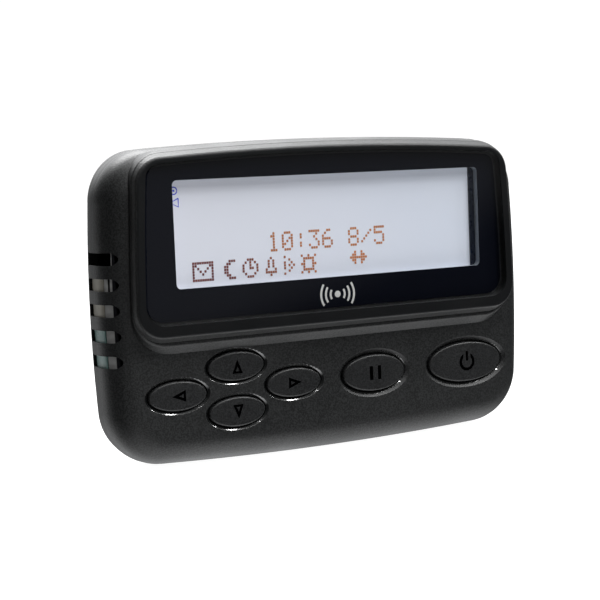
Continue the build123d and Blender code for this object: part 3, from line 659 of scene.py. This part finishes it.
def stage_piece(name, build, material):
    """A part of the studio. Only the camera's rays meet it, so it throws no light on the pager."""
    mesh = bpy.data.meshes.new(name)
    form = bmesh.new()
    build(form)
    form.to_mesh(mesh)
    form.free()
    thing = bpy.data.objects.new(name, mesh)
    bpy.context.scene.collection.objects.link(thing)
    mesh.materials.append(material)
    for rays in ("diffuse", "glossy", "transmission", "volume_scatter", "shadow"):
        setattr(thing, f"visible_{rays}", False)


def studio():
    """A pale floor and a white cove, seen only by the camera."""
    stage_piece("floor", floor_disc, floor_sheet())
    stage_piece("cove", cove_ball, cove_sheet())


def heading(azimuth, rise):
    """A direction, from degrees round from the front towards the right and degrees up."""
    a, e = math.radians(azimuth), math.radians(rise)
    return Vector((math.sin(a) * math.cos(e), -math.cos(a) * math.cos(e), math.sin(e)))


def sky():
    """The light all round, as soft patches: backdrop, ceiling, table, and a dim room in front and above."""
    world = bpy.data.worlds.new("studio_sky")
    bpy.context.scene.world = world
    world.use_nodes = True
    tree = world.node_tree
    place = tree.nodes.new("ShaderNodeTexCoord").outputs["Generated"]

    def toward(direction, low, high, new_low, new_high):
        """A patch of light: low and high are cosines of the angle from its middle direction."""
        dot = tree.nodes.new("ShaderNodeVectorMath")
        dot.operation = "DOT_PRODUCT"
        tree.links.new(place, dot.inputs[0])
        dot.inputs[1].default_value = Vector(direction).normalized()
        spread = tree.nodes.new("ShaderNodeMapRange")
        spread.interpolation_type = "SMOOTHSTEP"
        tree.links.new(dot.outputs["Value"], spread.inputs["Value"])
        for key, number in zip(RANGE_KEYS, (low, high, new_low, new_high)):
            spread.inputs[key].default_value = number
        return spread.outputs["Result"]

    def join(values, operation):
        """Several values put together by one math operation."""
        whole = values[0]
        for value in values[1:]:
            node = tree.nodes.new("ShaderNodeMath")
            node.operation = operation
            tree.links.new(whole, node.inputs[0])
            tree.links.new(value, node.inputs[1])
            whole = node.outputs[0]
        return whole

    backdrop = toward(heading(152, 4), 0.66, 0.86, 0.0, 0.30)
    ceiling = toward((0.30, 0.20, 0.90), 0.62, 0.88, 0.0, 1.9)
    table = toward((0, 0, -1), 0.42, 0.80, 0.0, 2.1)
    high_back = toward((-0.05, 0.70, 0.70), 0.76, 0.93, 0.0, 2.3)
    room = toward((0.317, 0.273, -0.908), -0.035, 0.012, 0.17, 0.0)
    left_dim = toward((-1, 0, 0), 0.05, 0.65, 1.0, 0.16)
    low_left = toward((-0.52, 0.70, -0.49), 0.82, 0.97, 0.0, 1.5)
    light = join([backdrop, ceiling, table, high_back, room], "ADD")
    light = join([join([light, left_dim], "MULTIPLY"), low_left], "ADD")
    tree.links.new(light, tree.nodes["Background"].inputs["Strength"])
    tree.nodes["Background"].inputs["Color"].default_value = (0.98, 0.99, 1.0, 1)


def softbox(name, place, size, power):
    """A rectangular area light at place, pointing at the keypad."""
    data = bpy.data.lights.new(name, "AREA")
    data.shape = "RECTANGLE"
    data.size, data.size_y = size
    data.energy = power
    lamp = bpy.data.objects.new(name, data)
    bpy.context.scene.collection.objects.link(lamp)
    lamp.location = place
    lamp.rotation_euler = (KEYPAD_MIDDLE - Vector(place)).to_track_quat("-Z", "Y").to_euler()


def lamps():
    """Three softboxes, and the small lamps that the key rings mirror."""
    softbox("key_light", (0.05, -0.22, 0.78), (0.45, 0.35), 2.6)
    high_place = KEYPAD_MIDDLE + heading(52, 58) * LAMP_DISTANCE
    softbox("front_high", high_place, (0.30, 0.34), 1.6)
    softbox("top_light", (0.05, 0.40, 0.70), (0.60, 0.30), 7.0)
    for number, (azimuth, rise, width, height) in enumerate(RING_LAMPS):
        place = KEYPAD_MIDDLE + heading(azimuth, rise) * LAMP_DISTANCE
        softbox(f"ring_lamp_{number}", place, (width, height), width * height * LAMP_POWER)


def camera():
    """A long lens from the front left, a little above and slightly rolled."""
    yaw, rise, roll = math.radians(-27.97), math.radians(5.22), math.radians(-2.33)
    distance = 243.8 * MM
    aim = Vector((-7.3, -9.5, 26.0)) * MM
    back = Vector((math.sin(yaw) * math.cos(rise), -math.cos(yaw) * math.cos(rise), math.sin(rise)))
    data = bpy.data.cameras.new("camera")
    data.lens = 89.34
    data.sensor_width = 36.0
    data.clip_start, data.clip_end = 0.01, 20.0
    thing = bpy.data.objects.new("camera", data)
    bpy.context.scene.collection.objects.link(thing)
    turn = back.to_track_quat("Z", "Y").to_matrix() @ Matrix.Rotation(roll, 3, "Z")
    thing.matrix_world = Matrix.Translation(aim + back * distance) @ turn.to_4x4()
    bpy.context.scene.camera = thing


paint_frame()
display_content()
mask_print()
lens_sign()
key_rings()
studio()
sky()
lamps()
camera()
bpy.context.scene.view_settings.view_transform = "Standard"
